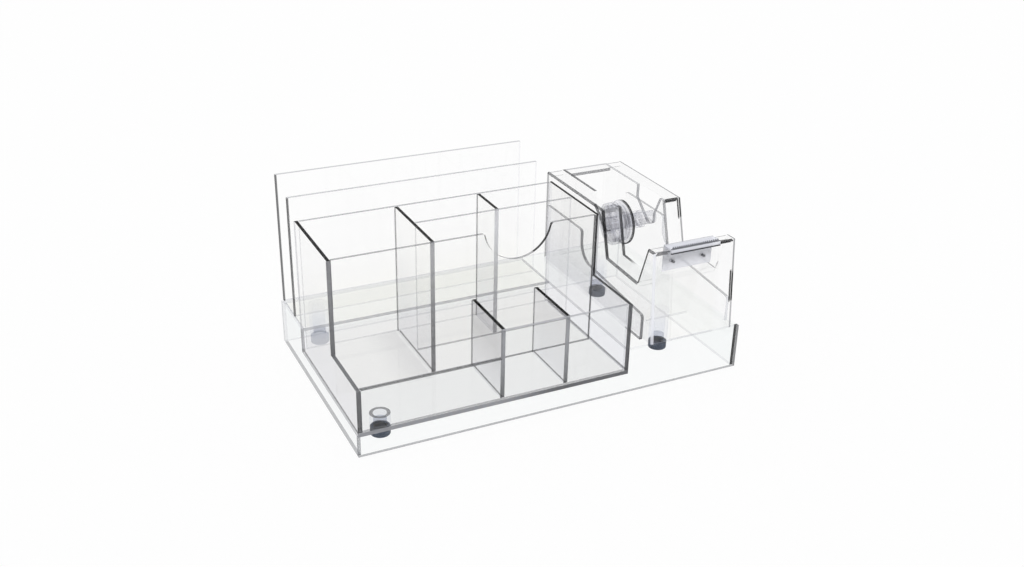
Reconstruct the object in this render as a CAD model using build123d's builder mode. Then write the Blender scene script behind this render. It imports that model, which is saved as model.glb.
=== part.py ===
"""Clear desk organizer with compartments, letter slots and a tape dispenser.

Frame: X runs along the front from left to right, Y from front to back, Z up.
The origin is on the table, under the middle of the base. Millimetres.
"""

import os

from build123d import *

os.makedirs("parts", exist_ok=True)

# ---------------------------------------------------------------- driving dimensions
sheet = 2.0  # thickness of the clear sheets
side_sheet = 2.6  # thickness of the compartments' sheets that face left and right
floor_sheet = 2.4  # thickness of the compartment floor

base_length = 232.2
base_depth = 136.6
foot_stand = 0.6  # how far the rubber feet reach below the skirt
deck_top = 27.7
floor_top = 15.0

organizer_length = 158.4
organizer_depth = 96.8
tall_front = 39.9  # front face of the tall section
divider_front = 68.1  # front face of the divider behind the wide slot
tall_top = 93.6
tray_top = 39.3
small_box_top = 56.2
long_partition_left = 57.2
rear_partition_left = 107.8
low_partition_lefts = (80.2, 118.3)

scoop_middle = 108.2
scoop_radius = 20.1
scoop_rise = 2.2  # height of the scoop's centre above the wall's top
scoop_lip = 2.0  # rounding where the scoop meets the top edge

panel_left = 1.2  # how far the panels' left ends stand in from the base's edge
back_panel_length = 154.3
back_panel_top = 107.0
middle_panel_length = 154.6
middle_panel_top = 101.0
middle_panel_front = 112.5

foot_radius = 5.5
foot_height = 4.4
stem_radius = 3.6
stem_top = 9.0
boss_radius = 5.7
boss_bore_radius = 3.7
boss_cap = 2.0  # solid top of the bosses under the deck
low_foot_place = (18.3, 18.2)  # under the compartment floor
deck_foot_places = ((203.8, 39.8), (206.1, 117.2), (19.8, 128.0))  # under the deck

dispenser_left = 172.1
dispenser_right = 226.9
cheek_width = 13.3
cheek_rounding = 1.6  # along the outer edges of both cheeks
dispenser_depth = 130.4
housing_top = 85.9
housing_top_front = 61.0
housing_foot_front = 53.1  # where the housing's sloping front meets the trough
housing_foot_height = 58.8
snout_top = 81.6
snout_lean = 4.6  # how far the snout's front leans back from the deck to its top
snout_top_back = 11.3
snout_foot_back = 19.6  # where the snout's sloping back meets the trough
snout_foot_height = 57.4
well_foot_front = 27.6  # where the well's front wall meets the deck
window_back = 121.9

axle_depth = 74.1
axle_height = 70.1
axle_radius = 4.0
axle_overhang = 1.5  # how far each end of the axle passes through its slot
slot_radius = 4.2
slot_throat = 74.0  # height where the slot's front side starts to open out
slot_mouth = (64.2, 89.7)  # front and back of the slot's mouth
slot_back_angle = -50.0  # where the slot's round bottom turns into its back slope
notch_width = 2.6  # how far the slot's mouth cuts into the cheek's rim

hub_radius = 12.8  # carries the 25.4 mm core of a roll of tape
hub_wall = 1.6
hub_width = 9.5
hub_gap = 0.6  # between the hub and the left cheek
hub_rim_radius = 13.6
hub_rim_width = 1.4
hub_sleeve_radius = 5.4
hub_sleeve_length = 20.5
hub_bore_radius = 4.05
hub_rib_width = 1.2
hub_rib_count = 6
collar_radius = 5.4
collar_width = 1.5
collar_gap = 0.4
axle_chamfer = 0.5

blade_sheet = 0.8
blade_leg = 15.4  # how far the blade reaches down behind the snout's top
blade_lip = 2.3  # how far the blade reaches down the snout's front
tooth_pitch = 1.4
tooth_height = 1.3
pin_head_radius = 1.3
pin_shank_radius = 0.8
pin_head_height = 0.6
pin_clearance = 0.05
groove_clearance = 0.05  # round the blade's leg in the cheeks' inner skins
leg_wall = 15.8  # height of the upright wall that carries the blade's leg
pin_spacing = 20.2
pin_down = 9.9  # from the snout's top down the wall behind the blade

cradle_gap = 0.5
cradle_right_gap = 0.4
cradle_front = 8.1
cradle_front_top = 43.0
cradle_step = 79.4
cradle_step_low = 48.8
cradle_step_high = 66.8
cradle_back = 124.4
cradle_hollow = 12.0  # rounding at the foot of the step
cradle_corner = 2.5  # rounding of the three outer corners

# ---------------------------------------------------------------- worked-out places
skirt_bottom = foot_stand
floor_bottom = floor_top - floor_sheet
deck_bottom = deck_top - sheet
wall_end = organizer_length - side_sheet  # where the walls facing the front meet the right wall
left_inner_face = dispenser_left + cheek_width
right_inner_face = dispenser_right - cheek_width
throat_width = right_inner_face - left_inner_face
throat_middle = (left_inner_face + right_inner_face) / 2
blade_width = throat_width + 2 * sheet
leg_bottom = snout_top - blade_leg

# The dispenser seen from its right side, as (depth, height) from the front of the deck.
cheek_profile = (
    (0, deck_top),
    (snout_lean, snout_top),
    (snout_top_back, snout_top),
    (snout_foot_back, snout_foot_height),
    (housing_foot_front, housing_foot_height),
    (housing_top_front, housing_top),
    (dispenser_depth, housing_top),
    (dispenser_depth, deck_top),
)


def plan(height):
    """A level plane whose local origin is above the base's front left corner."""
    return Plane((-base_length / 2, -base_depth / 2, height))


def side(left):
    """An upright plane facing right, with local x to the back and local y up."""
    return Plane((left - base_length / 2, -base_depth / 2, 0), x_dir=(0, 1, 0), z_dir=(1, 0, 0))


def front(back):
    """An upright plane facing the front, with local x to the right and local y up."""
    return Plane((-base_length / 2, back - base_depth / 2, 0), x_dir=(1, 0, 0), z_dir=(0, -1, 0))


def face_between(low, high, mode=Mode.ADD):
    """A rectangle from its low corner to its high corner, on the open sketch."""
    with Locations(low):
        Rectangle(high[0] - low[0], high[1] - low[1], align=(Align.MIN, Align.MIN), mode=mode)


def band_inside(outline):
    """A band one sheet wide inside an outline that starts a sheet below the deck, cut off at it."""
    Polygon(*outline, align=None)
    offset(amount=-sheet, kind=Kind.INTERSECTION, mode=Mode.SUBTRACT)
    face_between((-sheet, deck_top - sheet), (dispenser_depth, deck_top), mode=Mode.SUBTRACT)


def save(piece, label):
    """Name a finished piece and write it."""
    piece.part.label = label
    export_step(piece.part, f"parts/{label}.step")


# ================================================================ base
# The skirt is four sheets on edge. It is low under the compartments, whose own walls
# stand above it, and rises to the deck elsewhere.
with BuildPart() as skirt_front:
    with BuildSketch(front(sheet)):
        face_between((0, skirt_bottom), (base_length, floor_bottom))
        face_between((organizer_length, floor_bottom), (base_length, deck_top))
    extrude(amount=sheet)
save(skirt_front, "skirt_front")

with BuildPart() as skirt_left:
    with BuildSketch(side(0)):
        face_between((sheet, skirt_bottom), (base_depth - sheet, floor_bottom))
        face_between((organizer_depth, floor_bottom), (base_depth - sheet, deck_top))
    extrude(amount=sheet)
save(skirt_left, "skirt_left")

with BuildPart() as skirt_right:
    with BuildSketch(side(base_length - sheet)):
        face_between((sheet, skirt_bottom), (base_depth - sheet, deck_top))
    extrude(amount=sheet)
save(skirt_right, "skirt_right")

with BuildPart() as skirt_back:
    with BuildSketch(front(base_depth)):
        face_between((0, skirt_bottom), (base_length, deck_top))
    extrude(amount=sheet)
save(skirt_back, "skirt_back")

# The deck lies inside the skirt, beside and behind the compartments.
with BuildPart() as side_deck:
    with BuildSketch(plan(deck_bottom)):
        face_between((organizer_length, sheet), (base_length - sheet, base_depth - sheet))
    extrude(amount=sheet)
save(side_deck, "side_deck")

with BuildPart() as rear_deck:
    with BuildSketch(plan(deck_bottom)):
        face_between((sheet, organizer_depth), (organizer_length, base_depth - sheet))
    extrude(amount=sheet)
save(rear_deck, "rear_deck")

# Hollow bosses carry the feet: one under the sunken floor, the others under the deck.
with BuildPart() as foot_bosses:
    for places, boss_top, bore_top in (
        ((low_foot_place,), floor_bottom, floor_bottom),
        (deck_foot_places, deck_bottom, deck_bottom - boss_cap),
    ):
        with BuildSketch(plan(foot_height)):
            with Locations(*places):
                Circle(boss_radius)
        extrude(amount=boss_top - foot_height)
        with BuildSketch(plan(foot_height)):
            with Locations(*places):
                Circle(boss_bore_radius)
        extrude(amount=bore_top - foot_height, mode=Mode.SUBTRACT)
save(foot_bosses, "foot_bosses")

with BuildPart() as rubber_feet:
    with BuildSketch(plan(0)):
        with Locations(low_foot_place, *deck_foot_places):
            Circle(foot_radius)
    extrude(amount=foot_height)
    fillet(rubber_feet.faces().sort_by(Axis.Z)[:4].edges(), radius=sheet / 4)
    with BuildSketch(plan(foot_height)):
        with Locations(low_foot_place, *deck_foot_places):
            Circle(stem_radius)
    extrude(amount=stem_top - foot_height)
save(rubber_feet, "rubber_feet")

# ================================================================ compartments
with BuildPart() as compartment_floor:
    with BuildSketch(plan(floor_bottom)):
        face_between((0, 0), (organizer_length, organizer_depth))
    extrude(amount=floor_sheet)
save(compartment_floor, "compartment_floor")

# The side walls are stepped sheets: low beside the front row, tall behind it.
with BuildPart() as left_wall:
    with BuildSketch(side(0)):
        face_between((0, floor_top), (tall_front, tray_top))
        face_between((tall_front, floor_top), (organizer_depth, tall_top))
    extrude(amount=side_sheet)
save(left_wall, "left_wall")

with BuildPart() as right_wall:
    with BuildSketch(side(organizer_length - side_sheet)):
        face_between((0, floor_top), (tall_front, small_box_top))
        face_between((tall_front, floor_top), (organizer_depth, tall_top))
    extrude(amount=side_sheet)
save(right_wall, "right_wall")

# The low front wall steps up where the small boxes start.
with BuildPart() as front_wall:
    with BuildSketch(front(sheet)):
        face_between((side_sheet, floor_top), (wall_end, tray_top))
        face_between((low_partition_lefts[0], tray_top), (wall_end, small_box_top))
    extrude(amount=sheet)
save(front_wall, "front_wall")

# The tall front wall has a round finger scoop over the wide slot.
with BuildPart() as tall_front_wall:
    with BuildSketch(front(tall_front + sheet)) as wall_face:
        face_between((side_sheet, floor_top), (wall_end, tall_top))
        with Locations((scoop_middle, tall_top + scoop_rise)):
            Circle(scoop_radius, mode=Mode.SUBTRACT)
        scoop_lips = wall_face.vertices().group_by(Axis.Y)[-1].sort_by(Axis.X)[1:3]
        fillet(scoop_lips, radius=scoop_lip)
    extrude(amount=sheet)
save(tall_front_wall, "tall_front_wall")

with BuildPart() as back_wall:
    with BuildSketch(front(organizer_depth)):
        face_between((side_sheet, floor_top), (wall_end, tall_top))
    extrude(amount=sheet)
save(back_wall, "back_wall")

with BuildPart() as long_partition:
    with BuildSketch(side(long_partition_left)):
        face_between((tall_front + sheet, floor_top), (organizer_depth - sheet, tall_top))
    extrude(amount=side_sheet)
save(long_partition, "long_partition")

with BuildPart() as mid_divider:
    with BuildSketch(front(divider_front + sheet)):
        face_between((long_partition_left + side_sheet, floor_top), (wall_end, tall_top))
    extrude(amount=sheet)
save(mid_divider, "mid_divider")

with BuildPart() as rear_partition:
    with BuildSketch(side(rear_partition_left)):
        face_between((divider_front + sheet, floor_top), (organizer_depth - sheet, tall_top))
    extrude(amount=side_sheet)
save(rear_partition, "rear_partition")

for partition_name, partition_left in zip(("left", "right"), low_partition_lefts):
    with BuildPart() as low_partition:
        with BuildSketch(side(partition_left)):
            face_between((sheet, floor_top), (tall_front, small_box_top))
        extrude(amount=side_sheet)
    save(low_partition, f"low_partition_{partition_name}")

# ================================================================ letter holder
with BuildPart() as letter_panel_back:
    with BuildSketch(front(base_depth)):
        face_between((panel_left, deck_top), (panel_left + back_panel_length, back_panel_top))
    extrude(amount=sheet)
save(letter_panel_back, "letter_panel_back")

with BuildPart() as letter_panel_middle:
    with BuildSketch(front(middle_panel_front + sheet)):
        face_between((panel_left, deck_top), (panel_left + middle_panel_length, middle_panel_top))
    extrude(amount=sheet)
save(letter_panel_middle, "letter_panel_middle")

# ================================================================ dispenser cradle
# Two low cheeks stand on the deck and locate the dispenser between them.
cradle_lefts = {
    "left": dispenser_left - cradle_gap - sheet,
    "right": dispenser_right + cradle_right_gap,
}
for cradle_side, cradle_left in cradle_lefts.items():
    with BuildPart() as cradle_cheek:
        with BuildSketch(side(cradle_left)) as cradle_face:
            Polygon(
                (cradle_front, deck_top),
                (cradle_back, deck_top),
                (cradle_back, cradle_step_high),
                (cradle_step, cradle_step_high),
                (cradle_step, cradle_step_low),
                (cradle_front, cradle_front_top),
                align=None,
            )
            fillet(cradle_face.vertices().group_by(Axis.Y)[2], radius=cradle_hollow)
            rows = cradle_face.vertices().group_by(Axis.Y)
            fillet(rows[1] + rows[-1], radius=cradle_corner)
        extrude(amount=sheet)
    save(cradle_cheek, f"cradle_cheek_{cradle_side}")

# ================================================================ dispenser body
slot_middle = (axle_depth, axle_height)
arc_end = Vector(slot_middle) + Vector(slot_radius, 0).rotate(Axis.Z, slot_back_angle)
back_slope = Vector(0, 1).rotate(Axis.Z, slot_back_angle)
back_corner_height = arc_end.Y + back_slope.Y / back_slope.X * (slot_mouth[1] - arc_end.X)


def axle_slot(left, width):
    """Cut the open slot for the axle: a wide mouth that narrows to a round bottom."""
    with BuildSketch(side(left)) as slot_face:
        with BuildLine():
            Polyline(
                arc_end,
                (slot_mouth[1], back_corner_height),
                (slot_mouth[1], housing_top),
                (slot_mouth[0], housing_top),
                (axle_depth - slot_radius, slot_throat),
                (axle_depth - slot_radius, axle_height),
            )
            ThreePointArc(
                (axle_depth - slot_radius, axle_height),
                (axle_depth, axle_height - slot_radius),
                arc_end,
            )
        make_face()
    extrude(slot_face.sketch, amount=width, mode=Mode.SUBTRACT)


sunk_front = -snout_lean * sheet / (snout_top - deck_top)
sunk_profile = (
    (sunk_front, deck_top - sheet),
    *cheek_profile[1:-1],
    (dispenser_depth, deck_top - sheet),
)


def leg_groove(left):
    """Cut the groove that takes one side of the blade's leg through a cheek's inner skin."""
    with BuildSketch(side(left)) as groove:
        face_between(
            (snout_top_back - groove_clearance, leg_bottom - groove_clearance),
            (snout_top_back + blade_sheet + groove_clearance, snout_top),
        )
    extrude(groove.sketch, amount=sheet, mode=Mode.SUBTRACT)


# Each cheek is a hollow box: an outer skin, an inner skin with the axle's slot, and a
# rim between them that follows the profile and is notched at the slot's mouth.
cheeks = {
    "left": (dispenser_left, left_inner_face - sheet, left_inner_face - sheet - notch_width),
    "right": (dispenser_right - sheet, right_inner_face, right_inner_face + sheet),
}
for cheek_side, (outer_left, inner_left, notch_left) in cheeks.items():
    with BuildPart() as outer_skin:
        with BuildSketch(side(outer_left)):
            Polygon(*cheek_profile, align=None)
        extrude(amount=sheet)
        outer_face = outer_skin.faces().sort_by(Axis.X)[0 if cheek_side == "left" else -1]
        fillet(outer_face.edges().sort_by(Axis.Z)[1:], radius=cheek_rounding)
    save(outer_skin, f"{cheek_side}_outer_skin")

    with BuildPart() as inner_skin:
        with BuildSketch(side(inner_left)):
            Polygon(*cheek_profile, align=None)
        extrude(amount=sheet)
        axle_slot(inner_left, sheet)
        leg_groove(inner_left)
    save(inner_skin, f"{cheek_side}_inner_skin")

    with BuildPart() as cheek_rim:
        rim_left = min(outer_left, inner_left) + sheet
        with BuildSketch(side(rim_left)):
            band_inside(sunk_profile)
        extrude(amount=cheek_width - 2 * sheet)
        axle_slot(notch_left, notch_width)
    save(cheek_rim, f"{cheek_side}_rim")

# The cross pieces join the two cheeks. The snout is a channel upside down. Its back is
# upright behind the blade's leg, then slopes out to the trough and on to the deck.
well_slope = (well_foot_front - snout_foot_back) / (snout_foot_height - deck_top)
pin_plane = Plane(
    (throat_middle - base_length / 2, snout_top_back - base_depth / 2, snout_top - pin_down),
    x_dir=(1, 0, 0),
    z_dir=(0, 1, 0),
)


def pin_holes(depth):
    """Cut the holes of the two blade pins, to a depth each side of the snout's back face."""
    with BuildSketch(pin_plane) as holes:
        with GridLocations(pin_spacing, 0, 2, 1):
            Circle(pin_shank_radius + pin_clearance)
    extrude(holes.sketch, amount=depth, both=True, mode=Mode.SUBTRACT)


with BuildPart() as snout_shell:
    with BuildSketch(side(left_inner_face)):
        band_inside(
            (
                (sunk_front, deck_top - sheet),
                (snout_lean, snout_top),
                (snout_top_back, snout_top),
                (snout_top_back, snout_top - leg_wall),
                (snout_foot_back, snout_foot_height),
                (well_foot_front + well_slope * sheet, deck_top - sheet),
            )
        )
    extrude(amount=throat_width)
    pin_holes(2 * sheet)
save(snout_shell, "snout_shell")

with BuildPart() as housing_back:
    with BuildSketch(side(left_inner_face)):
        face_between((dispenser_depth - sheet, deck_top), (dispenser_depth, housing_top))
    extrude(amount=throat_width)
save(housing_back, "housing_back")

with BuildPart() as top_bridge:
    with BuildSketch(side(left_inner_face)):
        face_between((window_back, housing_top - sheet), (dispenser_depth - sheet, housing_top))
    extrude(amount=throat_width)
save(top_bridge, "top_bridge")

# ================================================================ cutter
# The blade is a bent strip over the snout's top: a lip down its front, a leg down its
# back that is held in the cheeks' grooves, and teeth turned up along the front edge.
blade_left = throat_middle - blade_width / 2
front_slope = Vector(-snout_lean, deck_top - snout_top).normalized()
lip_end = Vector(snout_lean, snout_top) + front_slope * blade_lip
tooth_count = int(blade_width / tooth_pitch)
tooth_row_left = blade_left + (blade_width - tooth_count * tooth_pitch) / 2

with BuildPart() as cutter_blade:
    with BuildSketch(side(blade_left)):
        with BuildLine():
            Polyline(lip_end, (snout_lean, snout_top), (snout_top_back, snout_top), (snout_top_back, leg_bottom))
            offset(amount=blade_sheet, side=Side.LEFT)
        make_face()
    extrude(amount=blade_width)
    with BuildSketch(front(snout_lean + blade_sheet)):
        land_top = snout_top + blade_sheet
        with Locations((tooth_row_left, land_top)):
            with GridLocations(tooth_pitch, 0, tooth_count, 1, align=(Align.MIN, Align.MIN)):
                Polygon((0, 0), (tooth_pitch, 0), (tooth_pitch / 2, tooth_height), align=None)
    extrude(amount=blade_sheet)
    pin_holes(2 * sheet)
save(cutter_blade, "cutter_blade")

with BuildPart() as blade_pins:
    with BuildSketch(pin_plane.offset(-sheet)):
        with GridLocations(pin_spacing, 0, 2, 1):
            Circle(pin_shank_radius)
    extrude(amount=sheet + blade_sheet)
    with BuildSketch(pin_plane.offset(blade_sheet)):
        with GridLocations(pin_spacing, 0, 2, 1):
            Circle(pin_head_radius)
    extrude(amount=pin_head_height)
save(blade_pins, "blade_pins")

# ================================================================ tape hub and axle
hub_left = left_inner_face + hub_gap
hub_right = hub_left + hub_width

with BuildPart() as tape_hub:
    with BuildSketch(side(hub_left)):
        with Locations(slot_middle):
            Circle(hub_radius)
            Circle(hub_radius - hub_wall, mode=Mode.SUBTRACT)
            with PolarLocations(0, hub_rib_count):
                Rectangle(hub_radius - hub_wall / 2, hub_rib_width, align=(Align.MIN, Align.CENTER))
    extrude(amount=hub_width)
    with BuildSketch(side(hub_right - hub_rim_width)):
        with Locations(slot_middle):
            Circle(hub_rim_radius)
    extrude(amount=hub_rim_width)
    with BuildSketch(side(hub_left)):
        with Locations(slot_middle):
            Circle(hub_sleeve_radius)
    extrude(amount=hub_sleeve_length)
    with BuildSketch(side(hub_left)):
        with Locations(slot_middle):
            Circle(hub_bore_radius)
    extrude(amount=hub_sleeve_length, mode=Mode.SUBTRACT)
save(tape_hub, "tape_hub")

axle_left = left_inner_face - sheet - axle_overhang
axle_right = right_inner_face + sheet + axle_overhang
collar_left = hub_left + hub_sleeve_length + collar_gap

with BuildPart() as hub_axle:
    with BuildSketch(side(axle_left)):
        with Locations(slot_middle):
            Circle(axle_radius)
    extrude(amount=axle_right - axle_left)
    chamfer(hub_axle.edges().filter_by(GeomType.CIRCLE), length=axle_chamfer)
    with BuildSketch(side(collar_left)):
        with Locations(slot_middle):
            Circle(collar_radius)
    extrude(amount=collar_width)
save(hub_axle, "hub_axle")
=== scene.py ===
"""Looks of the clear desk organizer with tape dispenser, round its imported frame. Metres."""

import math

import bmesh
import bpy
from mathutils import Matrix, Vector

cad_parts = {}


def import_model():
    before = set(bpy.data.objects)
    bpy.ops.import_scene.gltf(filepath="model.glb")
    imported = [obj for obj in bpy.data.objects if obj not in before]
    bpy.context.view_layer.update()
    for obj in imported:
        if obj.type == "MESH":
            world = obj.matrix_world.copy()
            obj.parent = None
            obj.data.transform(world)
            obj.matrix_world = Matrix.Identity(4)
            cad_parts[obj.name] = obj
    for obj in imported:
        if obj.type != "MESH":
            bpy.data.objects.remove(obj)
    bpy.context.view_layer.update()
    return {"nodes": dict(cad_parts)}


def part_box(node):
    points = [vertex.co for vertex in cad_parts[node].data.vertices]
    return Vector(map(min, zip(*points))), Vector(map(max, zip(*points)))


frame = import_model()
nodes = frame["nodes"]
scene = bpy.context.scene

# ---------------------------------------------------------------- camera
# Fitted to the photograph, from the front left bottom corner of the base's front skirt.
corner = Vector(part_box("skirt_front")[0])
camera_from_corner = Vector((-0.1498, -0.4704, 0.3352))
camera_azimuth = math.radians(-26.50)
camera_elevation = math.radians(25.71)
camera_roll = math.radians(1.31)
camera_lens = 40.46
sensor_width = 36.0
near_clip = 0.01


def make_camera():
    back = Vector(
        (
            math.sin(camera_azimuth) * math.cos(camera_elevation),
            -math.cos(camera_azimuth) * math.cos(camera_elevation),
            math.sin(camera_elevation),
        )
    )
    right = (-back).cross(Vector((0, 0, 1))).normalized()
    up = right.cross(-back)
    rolled_right = math.cos(camera_roll) * right + math.sin(camera_roll) * up
    rolled_up = -math.sin(camera_roll) * right + math.cos(camera_roll) * up
    turn = Matrix((rolled_right, rolled_up, back)).transposed()
    data = bpy.data.cameras.new("photo_camera")
    data.sensor_width = sensor_width
    data.lens = camera_lens
    data.clip_start = near_clip
    camera = bpy.data.objects.new("photo_camera", data)
    camera.matrix_world = Matrix.Translation(corner + camera_from_corner) @ turn.to_4x4()
    scene.collection.objects.link(camera)
    scene.camera = camera


make_camera()


# ---------------------------------------------------------------- places and zones
# A zone is a way to measure, the place where the zone starts and the place where it is full.
def low_end(name, axis):
    """Where a node of the frame starts along an axis."""
    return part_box(name)[0]["XYZ".index(axis)]


def high_end(name, axis):
    """Where a node of the frame ends along an axis."""
    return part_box(name)[1]["XYZ".index(axis)]


def after(axis, place, blur):
    """The zone past a place along an axis, with a soft border of this width."""
    return (axis, place - blur / 2, place + blur / 2)


def before(axis, place, blur):
    """The zone short of a place along an axis, with a soft border of this width."""
    return (axis, place + blur / 2, place - blur / 2)


def across(start, end):
    """The zone between two shares of a sheet's thickness along X, with sharp borders."""
    return ("across", start, end)


# ---------------------------------------------------------------- node helpers
noise_detail = 3.0


def with_alpha(color):
    """A colour of three numbers made opaque. Another node's output stays as it is."""
    return color if isinstance(color, bpy.types.NodeSocket) else (*color, 1)


class Shader:
    """A material's node tree, with short ways to add and link nodes."""

    def __init__(self, name):
        self.material = bpy.data.materials.new(name)
        self.material.use_nodes = True
        self.tree = self.material.node_tree
        self.tree.nodes.clear()
        self.geometry = self.add("ShaderNodeNewGeometry")

    def add(self, kind, inputs=None, **settings):
        """A new node. Inputs are values or other nodes' outputs, by socket name or index."""
        node = self.tree.nodes.new(kind)
        for key, value in settings.items():
            setattr(node, key, value)
        for key, value in (inputs or {}).items():
            if isinstance(value, bpy.types.NodeSocket):
                self.tree.links.new(value, node.inputs[key])
            else:
                node.inputs[key].default_value = value
        return node

    def math(self, operation, first, second=0.0, clamp=False):
        values = {0: first, 1: second}
        return self.add("ShaderNodeMath", values, operation=operation, use_clamp=clamp).outputs[0]

    def scaled(self, value, factor, start):
        """start plus factor times the value."""
        values = {0: value, 1: factor, 2: start}
        return self.add("ShaderNodeMath", values, operation="MULTIPLY_ADD").outputs[0]

    def ramp(self, value, start, end):
        """0 before start and 1 after end, smooth between them."""
        values = {"Value": value, "From Min": start, "From Max": end}
        return self.add("ShaderNodeMapRange", values, interpolation_type="SMOOTHSTEP").outputs[0]

    def between(self, weight, low, high):
        """A colour that goes from low to high with the weight."""
        values = {0: weight, 6: with_alpha(low), 7: with_alpha(high)}
        return self.add("ShaderNodeMix", values, data_type="RGBA").outputs[2]

    def noise(self, scale, stretch=(1, 1, 1)):
        where = self.add("ShaderNodeTexCoord").outputs["Object"]
        mapped = self.add("ShaderNodeMapping", {"Vector": where, "Scale": stretch}).outputs[0]
        values = {"Vector": mapped, "Scale": scale, "Detail": noise_detail}
        return self.add("ShaderNodeTexNoise", values).outputs[0]

    def place(self, axis):
        """Where a point is along an axis of the frame, with the part at rest."""
        where = self.add("ShaderNodeTexCoord").outputs["Object"]
        return self.add("ShaderNodeSeparateXYZ", {0: where}).outputs[axis]

    def thickness_share(self):
        """How far through a sheet a point is along X, from 0 to 1."""
        where = self.add("ShaderNodeTexCoord").outputs["Generated"]
        return self.add("ShaderNodeSeparateXYZ", {0: where}).outputs["X"]

    def outward(self):
        """The face's own direction, whichever side it is seen from, as three numbers."""
        flip = self.math("SUBTRACT", 1.0, self.math("MULTIPLY", self.geometry.outputs["Backfacing"], 2.0))
        values = {0: self.geometry.outputs["True Normal"], 3: flip}
        turned = self.add("ShaderNodeVectorMath", values, operation="SCALE").outputs[0]
        return self.add("ShaderNodeSeparateXYZ", {0: turned}).outputs

    def zoned(self, zones):
        """1 where all the zones hold, and 0 outside them."""
        mask = 1.0
        for way, start, full in zones:
            if way == "across":
                share = self.thickness_share()
                past_start = self.math("GREATER_THAN", share, start)
                inside = self.math("MULTIPLY", past_start, self.math("LESS_THAN", share, full))
            else:
                inside = self.ramp(self.place(way), start, full)
            mask = self.math("MULTIPLY", inside, mask)
        return mask

    def mix(self, weight, first, second):
        return self.add("ShaderNodeMixShader", {0: weight, 1: first, 2: second}).outputs[0]

    def see_through(self, tint):
        return self.add("ShaderNodeBsdfTransparent", {"Color": with_alpha(tint)}).outputs[0]

    def solid(self, color, roughness, more=None):
        values = {"Base Color": with_alpha(color), "Roughness": roughness, **(more or {})}
        return self.add("ShaderNodeBsdfPrincipled", values).outputs[0]

    def done(self, shader):
        self.add("ShaderNodeOutputMaterial", {"Surface": shader})
        return self.material


# ---------------------------------------------------------------- clear plastic
plastic_ior = 1.49
mirror_share = 0.55  # a polished sheet mirrors less than a lens
face_roughness = 0.02
face_unevenness = 0.03
unevenness_scale = 40.0
edge_roughness = 0.2
edge_shine = {"Specular IOR Level": 0.04}
edge_tint = (0.97, 0.97, 0.98)
cool_cast = (0.97, 0.985, 1.05)
directions = {
    "left": ("X", -1.0),
    "right": ("X", 1.0),
    "front": ("Y", -1.0),
    "back": ("Y", 1.0),
    "down": ("Z", -1.0),
    "up": ("Z", 1.0),
}


def grey(value):
    """A slightly cool grey, from the value from 0 to 255 that it shows on a screen."""
    linear = ((value / 255 + 0.055) / 1.055) ** 2.4
    return tuple(linear * cast for cast in cool_cast)


def clear_face(s, tint):
    """Clear plastic seen face on: light goes straight through and the surface mirrors a little."""
    fresnel = s.add("ShaderNodeFresnel", {"IOR": plastic_ior}).outputs[0]
    outside = s.math("SUBTRACT", 1.0, s.geometry.outputs["Backfacing"])
    mirrored = s.math("MULTIPLY", fresnel, s.math("MULTIPLY", outside, mirror_share))
    roughness = s.scaled(s.noise(unevenness_scale), face_unevenness, face_roughness)
    glossy = s.add("ShaderNodeBsdfGlossy", {"Roughness": roughness}).outputs[0]
    return s.mix(mirrored, s.see_through(tint), glossy)


def edge_face(s, color, cover):
    """A cut edge: painted shade for the dark it gathers from the room, hiding part of what is behind."""
    return s.mix(cover, s.see_through(edge_tint), s.solid(color, edge_roughness, edge_shine))


def clear_plastic(name, edges, low_tint, high_tint=None, fade=(0.0, 0.1), steep=0.5, pool=None):
    """Clear plastic whose faces are tinted by height, a painted shade, and whose cut edges carry
    a painted shade per direction, for the dark that they gather from the room.

    edges maps a direction to the painted shade of its edges (screen grey low down, screen grey
    high up, cover, zones); the near-white ones are painted highlights. A word after the direction
    tells two shades of one direction apart. fade is the stretch of height from low to high, and
    steep the least share of a direction that a face needs. pool is a tint of painted shade and
    the zones where it replaces the others.
    """
    s = Shader(name)
    rise = s.ramp(s.place("Z"), *fade)
    tint = s.between(rise, low_tint, high_tint or low_tint)
    if pool:
        pool_tint, *pool_zones = pool
        tint = s.between(s.zoned(pool_zones), tint, pool_tint)
    shader = clear_face(s, tint)
    parts = s.outward()
    for direction, (low, high, cover, *zones) in edges.items():
        axis, sign = directions[direction.split()[0]]
        facing = s.math("GREATER_THAN", s.math("MULTIPLY", parts[axis], sign), steep)
        mask = s.math("MULTIPLY", facing, s.zoned(zones))
        shader = s.mix(mask, shader, edge_face(s, s.between(rise, grey(low), grey(high)), cover))
    return s.done(shader)


touching_gap = 0.00005


def part_from_neighbours(node):
    """Draws a sheet in by a hair, so that no face lies in the same place as its neighbour's."""
    node.modifiers.new("joined_faces", "WELD").merge_threshold = touching_gap / 5
    shrink = node.modifiers.new("hair_gap", "DISPLACE")
    shrink.mid_level = 0.0
    shrink.strength = -touching_gap


def dress(material, *names):
    for name in names:
        part_from_neighbours(nodes[name])
        for holder in nodes[name].material_slots:
            holder.material = material


# ---------------------------------------------------------------- side walls and partitions
step_top = high_end("front_wall", "Z")
step_blur = 0.0004
above_step = after("Z", step_top, step_blur)
below_step = before("Z", step_top, step_blur)
near_top = high_end("left_wall", "Z") - 0.0061
near_top_blur = 0.005
at_top = after("Z", near_top, near_top_blur)
below_top = before("Z", near_top, near_top_blur)
# Painted shade: the faces darken or lighten over these heights and from sheet to sheet, as do the cut
# edges.
wall_fade = (0.02, 0.08)
partition_fade = (0.03, 0.09)
low_fade = (0.015, 0.045)
white = (1.0, 1.0, 1.0)

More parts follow.
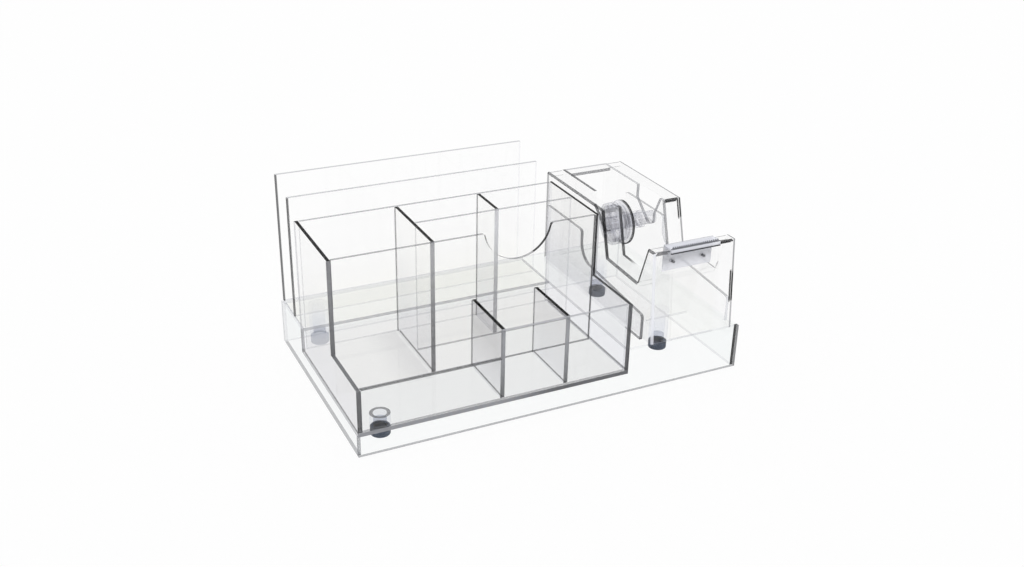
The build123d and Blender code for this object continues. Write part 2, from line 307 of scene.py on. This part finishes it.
side_wall = clear_plastic(
    "side_wall",
    {
        "up": (6, 6, 0.99, across(0.13, 0.87), at_top),
        "front": (75, 122, 0.9),
        "back": (150, 190, 0.45, across(0.0, 0.35)),
        "down": (70, 70, 0.7, across(0.0, 0.3)),
        "up low": (105, 105, 0.9, across(0.1, 0.9), below_top),
    },
    (0.97, 0.97, 0.98),
    white,
    fade=wall_fade,
)
right_side = clear_plastic(
    "right_side_wall",
    {
        "up": (6, 6, 0.99, across(0.18, 0.82), at_top),
        "up low": (30, 75, 0.95, across(0.15, 0.85), below_top),
        "front low": (75, 95, 0.92, below_step),
        "front high": (15, 25, 0.95, above_step, across(0.0, 0.55)),
        "front far": (150, 170, 0.5, above_step, across(0.55, 1.0)),
        "back": (200, 200, 0.15),
        "down": (90, 90, 0.6, across(0.4, 0.8)),
    },
    (0.94, 0.94, 0.955),
    (0.968, 0.968, 0.965),
    fade=wall_fade,
)
dress(side_wall, "left_wall")
dress(right_side, "right_wall")

partition_edges = {
    "up": (6, 6, 0.99, across(0.12, 0.88)),
    "front": (85, 150, 0.8),
    "back": (90, 110, 0.7, across(0.0, 0.35)),
    "down": (70, 70, 0.7, across(0.4, 0.8)),
}
partition_tints = ((0.94, 0.94, 0.95), (0.995, 0.995, 0.99))
partition = clear_plastic("partition", partition_edges, *partition_tints, fade=partition_fade)
rear_edges = {**partition_edges, "front": (150, 205, 0.7), "down": (200, 200, 0.15)}
rear = clear_plastic("rear_partition", rear_edges, *partition_tints, fade=partition_fade)
low_edges = {**partition_edges, "front": (85, 145, 0.85)}
low_left = clear_plastic(
    "low_partition_left", low_edges, (0.93, 0.93, 0.94), (0.865, 0.863, 0.87), fade=low_fade
)
low_right = clear_plastic(
    "low_partition_right", low_edges, (0.95, 0.95, 0.96), (0.935, 0.933, 0.94), fade=low_fade
)
dress(partition, "long_partition")
dress(rear, "rear_partition")
dress(low_left, "low_partition_left")
dress(low_right, "low_partition_right")

# ---------------------------------------------------------------- cross walls and letter panels
tray_top = 0.039
deck_foot = low_end("rear_deck", "Z")
# Painted shade under the rear deck, on the back wall.
shade_below_deck = ((0.93, 0.93, 0.93), before("Z", deck_foot + 0.00015, 0.0003))
scoop_line = after("X", low_end("tall_front_wall", "X") + 0.0115, 0.003)
scoop_side = after("Z", 0.065, 0.010)
# Painted shade: face tints by height and by sheet, and the cut edges' shades in the tables below.
cross_tints = ((0.992, 0.992, 0.988), white)
wall_edges = {
    "up": (140, 140, 0.6),
    "down": (110, 110, 0.5),
    "left": (150, 150, 0.3),
    "right": (200, 200, 0.2),
}
back_edges = {**wall_edges, "down": (200, 200, 0.1)}
scoop_edges = {
    "up": (110, 110, 0.6),
    "down": (95, 95, 0.7, scoop_line),
    "left": (20, 20, 0.9, scoop_side),
    "right": (100, 60, 0.85),
}
low_front_edges = {**wall_edges, "up": (75, 175, 0.7)}
divider = clear_plastic("divider", wall_edges, *cross_tints)
back_wall = clear_plastic("back_wall", back_edges, *cross_tints, pool=shade_below_deck)
scoop_wall = clear_plastic("scooped_wall", scoop_edges, *cross_tints)
low_front = clear_plastic("low_front_wall", low_front_edges, (0.985, 0.99, 0.99), fade=(tray_top, step_top))
dress(divider, "mid_divider")
dress(back_wall, "back_wall")
dress(scoop_wall, "tall_front_wall")
dress(low_front, "front_wall")

panel_end = before("X", low_end("letter_panel_middle", "X") + 0.00085, 0.0003)
panel_edges = {
    "left": (60, 30, 0.97),
    "front": (70, 50, 0.8, panel_end),
    "right": (240, 240, 0.1),
    "up": (160, 160, 0.55),
    "down": (190, 190, 0.2),
}
panel = clear_plastic("letter_panel", panel_edges, (0.995, 0.995, 0.99), white, fade=(0.02, 0.06))
dress(panel, "letter_panel_back", "letter_panel_middle")

# ---------------------------------------------------------------- floor, decks, skirts and bosses
box_end = low_end("long_partition", "X")
box_front = low_end("tall_front_wall", "Y")
# Painted shade on part of the sunk floor, next to the long partition.
shade_by_long_partition = (
    (0.865, 0.865, 0.87),
    after("X", box_end - 0.0126, 0.025),
    before("X", box_end + 0.00015, 0.0005),
    after("Y", box_front + 0.0002, 0.0004),
)
# Painted shade on the cut edges of the floor, decks, skirts and bosses, and in their face tints.
floor_edges = {
    "front": (150, 150, 0.97),
    "front right": (105, 105, 0.97, after("X", -0.020, 0.040)),
    "left": (125, 125, 0.3),
    "right": (90, 90, 0.3),
}
deck_edges = {
    "front": (180, 180, 0.6),
    "left": (150, 150, 0.3),
    "right": (200, 200, 0.2),
    "back": (200, 200, 0.2),
}
sunk_floor = clear_plastic("compartment_floor", floor_edges, (0.93, 0.93, 0.93), pool=shade_by_long_partition)
rear_plastic = clear_plastic("rear_deck", deck_edges, (0.972, 0.972, 0.96))
side_plastic = clear_plastic("side_deck", {"left": (150, 150, 0.3)}, (0.995, 0.997, 0.994))
dress(sunk_floor, "compartment_floor")
dress(rear_plastic, "rear_deck")
dress(side_plastic, "side_deck")

skirt_tint = (0.985, 0.99, 0.99)
skirt_ends = {"down": (135, 135, 0.6), "left": (150, 150, 0.5), "up": (200, 200, 0.1)}
near_edges = {**skirt_ends, "right": (75, 75, 0.75)}
back_skirt_edges = {**skirt_ends, "down": (200, 200, 0.2), "right": (200, 200, 0.2)}
left_skirt_edges = {
    "down": (135, 135, 0.6),
    "up": (200, 200, 0.2),
    "front": (130, 130, 0.6),
    "back": (200, 200, 0.2),
}
far_edges = {"down": (150, 150, 0.15), "front": (35, 35, 0.95)}
dress(clear_plastic("skirt_front", near_edges, skirt_tint), "skirt_front")
dress(clear_plastic("skirt_back", back_skirt_edges, skirt_tint), "skirt_back")
dress(clear_plastic("skirt_left", left_skirt_edges, (0.98, 0.985, 0.985)), "skirt_left")
dress(clear_plastic("skirt_right", far_edges, skirt_tint), "skirt_right")

boss_edges = {"up": (95, 95, 0.7, before("Z", 0.017, 0.006))}
boss = clear_plastic("boss", boss_edges, (0.96, 0.965, 0.98), (0.985, 0.985, 0.99), fade=(0.013, 0.024))
dress(boss, "foot_bosses")

# ---------------------------------------------------------------- clear dispenser
clear = (0.995, 0.995, 0.995)
at_housing = after("Y", -0.025, 0.010)
at_snout = before("Y", -0.043, 0.006)
slot_front = 0.0005
slot_blur = 0.001
before_slot = before("Y", slot_front, slot_blur)
slot_end = before("Y", 0.029, 0.002)
left_face = before("X", high_end("left_outer_skin", "X") - 0.00025, 0.0005)
# Painted shade on the cheeks' cut edges, and a painted highlight on the front of the left snout.
left_outer = clear_plastic(
    "dispenser_left_outside",
    {
        "up": (60, 80, 0.75),
        "front": (35, 35, 0.9, at_housing),
        "front snout": (252, 252, 0.65, at_snout, left_face),
        "back": (45, 45, 0.9, at_snout),
        "back far": (110, 110, 0.6, after("Y", 0.0565, 0.003)),
    },
    (0.95, 0.95, 0.955),
    clear,
    fade=(0.03, 0.06),
)
left_inner = clear_plastic(
    "dispenser_left_inside",
    {"up": (50, 80, 0.85, at_housing), "front": (30, 60, 0.85, at_housing, before_slot)},
    (0.98, 0.98, 0.98),
    clear,
    fade=(0.045, 0.08),
)

# Painted shade: the right cheek's front edges are painted dark above housing_dark_foot, and on
# the snout between snout_dark_foot and snout_dark_top.
housing_dark_foot = 0.074
snout_dark_top = 0.063
snout_dark_foot = 0.044
dark_blur = 0.002
dark_top_blur = 0.006
above_housing_foot = after("Z", housing_dark_foot, dark_blur)
above_snout_foot = after("Z", snout_dark_foot, dark_blur)
right_edges = {
    "up": (115, 115, 0.75),
    "front": (20, 20, 0.92, at_housing, above_housing_foot),
    "front below": (130, 130, 0.7, at_housing, before("Z", housing_dark_foot, dark_blur)),
    "front top": (120, 120, 0.7, at_snout, after("Z", snout_dark_top, dark_top_blur)),
    "front middle": (15, 15, 0.97, at_snout, before("Z", snout_dark_top, dark_top_blur), above_snout_foot),
    "front foot": (130, 130, 0.6, at_snout, before("Z", snout_dark_foot, dark_blur)),
}
right_outer = clear_plastic("dispenser_right_outside", right_edges, clear)
right_inner = clear_plastic(
    "dispenser_right_inside",
    {
        "up": (150, 150, 0.5, at_housing),
        "front": (115, 115, 0.65, at_housing, before_slot),
        "front slot": (150, 150, 0.7, after("Y", slot_front, slot_blur), slot_end),
        "back slot": (150, 150, 0.7, after("Y", -0.005, 0.002), slot_end, after("Z", 0.062, 0.004)),
    },
    clear,
)
dress(left_outer, "left_outer_skin")
dress(left_inner, "left_inner_skin")
dress(right_outer, "right_outer_skin")
dress(right_inner, "right_inner_skin")


# ---------------------------------------------------------------- the cheeks' rims
# Rounded edges of the cheeks that run across: where they are along Y, and their painted shade
# and cover on the left and on the right cheek.
rounded_edges = (
    (-0.0637, (95, 0.8), (45, 0.9)),
    (-0.0570, (130, 0.7), (130, 0.7)),
    (-0.0487, (50, 0.9), (165, 0.6)),
    (-0.0073, (130, 0.6), (45, 0.85)),
    (0.0621, (140, 0.6), (150, 0.6)),
)
rounded_reach = 0.0025
facet_share = 0.4  # a rounded edge's facet looks at least this much both along Y and along Z
forward_share = 0.3
line_depth = 0.0014
line_blur = 0.0002
rim_rounding = 0.0007
rounding_angle = math.radians(50)
rim_right = high_end("right_rim", "X")
rim_top = high_end("right_rim", "Z")
snout_top = high_end("snout_shell", "Z")
corner_zone = after("X", rim_right - 0.00135, 0.0003)
snout_zone = before("Y", -0.0525, 0.005)
housing_zones = (after("Y", -0.0275, 0.005), before("Y", 0.0075, 0.005))
# Lines of painted shade on the right rim's forward faces, at its outer corner and under its tops.
dark_corners = (
    (20, 0.9, corner_zone, before("Z", snout_dark_top, dark_blur), above_snout_foot, snout_zone),
    (20, 0.9, corner_zone, above_housing_foot, *housing_zones),
    (45, 0.9, after("Z", rim_top - line_depth, line_blur), *housing_zones),
    (45, 0.9, after("Z", snout_top - line_depth, line_blur), snout_zone),
)


def make_rim_plastic(name, looks, corners=()):
    """Clear plastic with lines of painted shade on its rounded edges and its forward faces.

    looks has the place along Y and the (shade, cover) of each rounded edge, and corners the
    shade, cover and zones of each line on the faces that look forward.
    """
    s = Shader(name)
    parts = s.outward()
    smaller = s.math("MINIMUM", s.math("ABSOLUTE", parts["Y"]), s.math("ABSOLUTE", parts["Z"]))
    turning = s.math("GREATER_THAN", smaller, facet_share)
    place = s.place("Y")
    shader = clear_face(s, clear)
    for middle, (shade, cover) in looks:
        off = s.math("ABSOLUTE", s.math("SUBTRACT", place, middle))
        line = s.math("MULTIPLY", turning, s.math("LESS_THAN", off, rounded_reach))
        shader = s.mix(line, shader, edge_face(s, grey(shade), cover))
    for shade, cover, *zones in corners:
        forward = s.math("LESS_THAN", parts["Y"], -forward_share)
        line = s.math("MULTIPLY", forward, s.zoned(zones))
        shader = s.mix(line, shader, edge_face(s, grey(shade), cover))
    return s.done(shader)


left_looks = [(middle, left) for middle, left, right in rounded_edges]
right_looks = [(middle, right) for middle, left, right in rounded_edges]
dress(make_rim_plastic("dispenser_left_rim", left_looks), "left_rim")
dress(make_rim_plastic("dispenser_right_rim", right_looks, dark_corners), "right_rim")
for name in ("left_rim", "right_rim"):
    rounding = nodes[name].modifiers.new("rounded_edges", "BEVEL")
    rounding.width = rim_rounding
    rounding.segments = 1
    rounding.use_clamp_overlap = False
    rounding.limit_method = "ANGLE"
    rounding.angle_limit = rounding_angle

# ---------------------------------------------------------------- snout, housing and cradle
# Painted shade on the cut edges of the snout, housing, bridge and cradle, and in their tints.
snout_edges = {"up": (225, 225, 0.5), "down": (190, 190, 0.2)}
snout = clear_plastic(
    "dispenser_snout", snout_edges, (0.993, 0.993, 0.99), clear, fade=(0.03, 0.08), steep=0.8
)
housing = clear_plastic("dispenser_back", {"up": (150, 150, 0.6), "down": (190, 190, 0.2)}, clear)
bridge = clear_plastic("dispenser_bridge", {"front": (110, 110, 0.7)}, clear)
dress(snout, "snout_shell")
dress(housing, "housing_back")
dress(bridge, "top_bridge")

cradle_front = before("Y", low_end("cradle_cheek_left", "Y") + 0.0155, 0.005)
cradle_edges = {"up": (90, 90, 0.6), "front": (90, 110, 0.8), "down": (100, 100, 0.7, cradle_front)}
cradle_left = clear_plastic("cradle_left", cradle_edges, (0.97, 0.97, 0.975))
cradle_right = clear_plastic("cradle_right", {"up": (110, 110, 0.5), "front": (220, 220, 0.5)}, clear)
dress(cradle_left, "cradle_cheek_left")
dress(cradle_right, "cradle_cheek_right")

# ---------------------------------------------------------------- rubber feet
stem_zone = after("Z", low_end("foot_bosses", "Z") + 0.0005, 0.0006)
back_left_zones = (before("X", -0.065, 0.010), after("Y", 0.035, 0.010))
stem_clearness = 0.85  # the stems inside the bosses hardly show in the photograph
back_left_clearness = 0.82  # and the foot at the back left shows as a pale smudge of painted reflection


def make_rubber():
    s = Shader("dark_rubber")
    color = s.between(s.noise(900.0), (0.035, 0.050, 0.080), (0.065, 0.085, 0.125))
    stem = s.math("MULTIPLY", s.zoned([stem_zone]), stem_clearness)
    back_left = s.math("MULTIPLY", s.zoned(back_left_zones), back_left_clearness)
    clearness = s.math("MAXIMUM", stem, back_left)
    return s.done(s.mix(clearness, s.solid(color, 0.55), s.see_through((0.93, 0.94, 0.97))))


# ---------------------------------------------------------------- cutter and its pins
blade_low, blade_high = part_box("cutter_blade")
strip_front = blade_low[1] + 0.0012
leg_front = blade_high[1] - 0.0009
teeth_foot = blade_high[2] - 0.0013
lip_foot = teeth_foot - 0.0022
leg_fade = (blade_low[2], blade_low[2] + 0.008)
grain_scale = 260.0
grain_stretch = (0.25, 1, 1)
grain_depth = 0.35
grain_middle = 0.17


def make_cutter():
    """Pale clear plastic: the upright leg is a soft grey painted lighter towards its foot as a highlight,
    the bent strip is painted near white as a highlight, and its edges carry painted shade.
    """
    s = Shader("cutter_plastic")
    height = s.place("Z")
    depth = s.place("Y")
    grain = s.math("MULTIPLY", s.noise(grain_scale, grain_stretch), grain_depth)
    grain = s.math("SUBTRACT", grain, grain_middle)
    # Painted highlight: the leg grows lighter towards its foot, under a random grain.
    rise = s.math("ADD", s.ramp(height, *leg_fade), grain, clamp=True)
    leg = s.solid(s.between(rise, grey(250), grey(210)), 0.25)
    shader = s.mix(s.scaled(rise, 0.3, 0.35), s.see_through(edge_tint), leg)
    in_strip = s.math("LESS_THAN", depth, leg_front)
    # Painted highlight: the bent strip is a near-white solid mixed over clear plastic.
    strip = s.mix(0.55, s.see_through(edge_tint), s.solid(grey(254), 0.1))
    shader = s.mix(in_strip, shader, strip)

    # Lines of painted shade along the strip's front, the foot of its lip and its back edge.
    at_teeth = s.math("GREATER_THAN", height, teeth_foot - 0.0004)
    front_line = s.math("MULTIPLY", s.math("LESS_THAN", depth, strip_front), at_teeth)
    at_lip = s.math("MULTIPLY", s.math("LESS_THAN", depth, strip_front + 0.001), in_strip)
    foot_line = s.math("MULTIPLY", at_lip, s.math("LESS_THAN", height, lip_foot))
    upward = s.math("GREATER_THAN", s.outward()["Z"], 0.5)
    back_line = s.math("MULTIPLY", upward, s.math("GREATER_THAN", depth, leg_front - 0.0001))
    for line, shade, cover in ((front_line, 105, 0.85), (foot_line, 80, 0.9), (back_line, 165, 0.7)):
        shader = s.mix(line, shader, edge_face(s, grey(shade), cover))
    return s.done(shader)


def make_pin_steel():
    s = Shader("pin_steel")
    color = s.between(s.noise(1500.0), grey(95), grey(140))
    return s.done(s.solid(color, 0.3, {"Metallic": 1.0}))


# ---------------------------------------------------------------- hub and axle
hub_low, hub_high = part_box("tape_hub")
hub_middle = ((hub_low[1] + hub_high[1]) / 2, (hub_low[2] + hub_high[2]) / 2)
rim_start = hub_low[0] + 0.0080  # where the hub's raised rim starts along the axle
rim_edge = (hub_high[2] - hub_low[2]) / 2 - 0.0007
dark_half = (0.006, -0.002)  # the rim's painted shade fades in from back to front along Y
drum_inside = 0.0090
ring_pitch = 0.0024
ring_depth = 0.16
smoke_and_light_cover = 0.30
flat_loss = 0.75
middle_cover = 0.25


def make_smoke_and_light():
    """Smoky clear plastic, streaked and ringed round the drum with painted highlights and shade, and
    a near-black painted shade on the raised rim's front edge.
    """
    s = Shader("hub_plastic")
    along = s.place("X")
    out_y = s.math("SUBTRACT", s.place("Y"), hub_middle[0])
    out_z = s.math("SUBTRACT", s.place("Z"), hub_middle[1])
    squares = s.math("ADD", s.math("MULTIPLY", out_y, out_y), s.math("MULTIPLY", out_z, out_z))
    radius = s.math("SQRT", squares)
    # Painted highlights and shade: light and dark streaks and rings round the drum.
    painted_light_streaks = s.noise(420.0, (1, 0.25, 0.25))
    painted_light_rings = s.math("SINE", s.math("MULTIPLY", along, math.tau / ring_pitch))
    tone = s.ramp(s.math("ADD", s.math("MULTIPLY", painted_light_rings, ring_depth), painted_light_streaks), 0.38, 0.62)
    smoke_and_light = s.solid(s.between(tone, grey(70), grey(245)), 0.15)

    flat = s.math("GREATER_THAN", s.math("ABSOLUTE", s.outward()["X"]), 0.5)
    cover = s.math("MULTIPLY", s.math("SUBTRACT", 1.0, s.math("MULTIPLY", flat, flat_loss)), smoke_and_light_cover)
    drum = s.math("GREATER_THAN", radius, drum_inside)
    cover = s.math("MULTIPLY", cover, s.scaled(drum, 1 - middle_cover, middle_cover))
    shader = s.mix(cover, s.see_through((0.95, 0.95, 0.96)), smoke_and_light)

    at_edge = s.math("GREATER_THAN", radius, rim_edge)
    rim = s.math("MULTIPLY", at_edge, s.math("GREATER_THAN", along, rim_start))
    rim = s.math("MULTIPLY", rim, s.ramp(out_y, *dark_half))
    return s.done(s.mix(rim, shader, edge_face(s, grey(40), 0.85)))


dress(make_rubber(), "rubber_feet")
dress(make_cutter(), "cutter_blade")
dress(make_pin_steel(), "blade_pins")
dress(make_smoke_and_light(), "tape_hub")
# Painted shade on the axle's cut edges.
axle_edges = {"up": (200, 200, 0.3), "down": (150, 150, 0.3)}
dress(clear_plastic("axle_plastic", axle_edges, (0.93, 0.93, 0.94)), "hub_axle")

# ---------------------------------------------------------------- stage and light
scene.view_settings.view_transform = "Standard"
scene.cycles.transparent_max_bounces = 64
floor_half = 4.0
shadow_share = 0.06  # how much of the floor's own shading the camera sees


def make_floor():
    mesh = bpy.data.meshes.new("floor")
    work = bmesh.new()
    bmesh.ops.create_grid(work, x_segments=1, y_segments=1, size=floor_half)
    work.to_mesh(mesh)
    work.free()
    floor = bpy.data.objects.new("floor", mesh)
    scene.collection.objects.link(floor)
    s = Shader("floor")
    tone = s.between(s.noise(3.0), (0.86, 0.86, 0.87), (0.88, 0.88, 0.88))
    paper = s.add("ShaderNodeBsdfDiffuse", {"Color": tone}).outputs[0]
    glow = s.add("ShaderNodeEmission", {"Strength": 1.0}).outputs[0]
    path = s.add("ShaderNodeLightPath").outputs
    seen = s.math("ADD", path["Is Camera Ray"], path["Is Glossy Ray"], clamp=True)
    seen = s.math("ADD", seen, path["Is Transmission Ray"], clamp=True)
    mesh.materials.append(s.done(s.mix(s.math("MULTIPLY", seen, 1 - shadow_share), paper, glow)))


make_floor()

world = bpy.data.worlds.new("studio")
scene.world = world
world.use_nodes = True
background = world.node_tree.nodes["Background"]
background.inputs["Color"].default_value = (*white, 1)
background.inputs["Strength"].default_value = 1.0
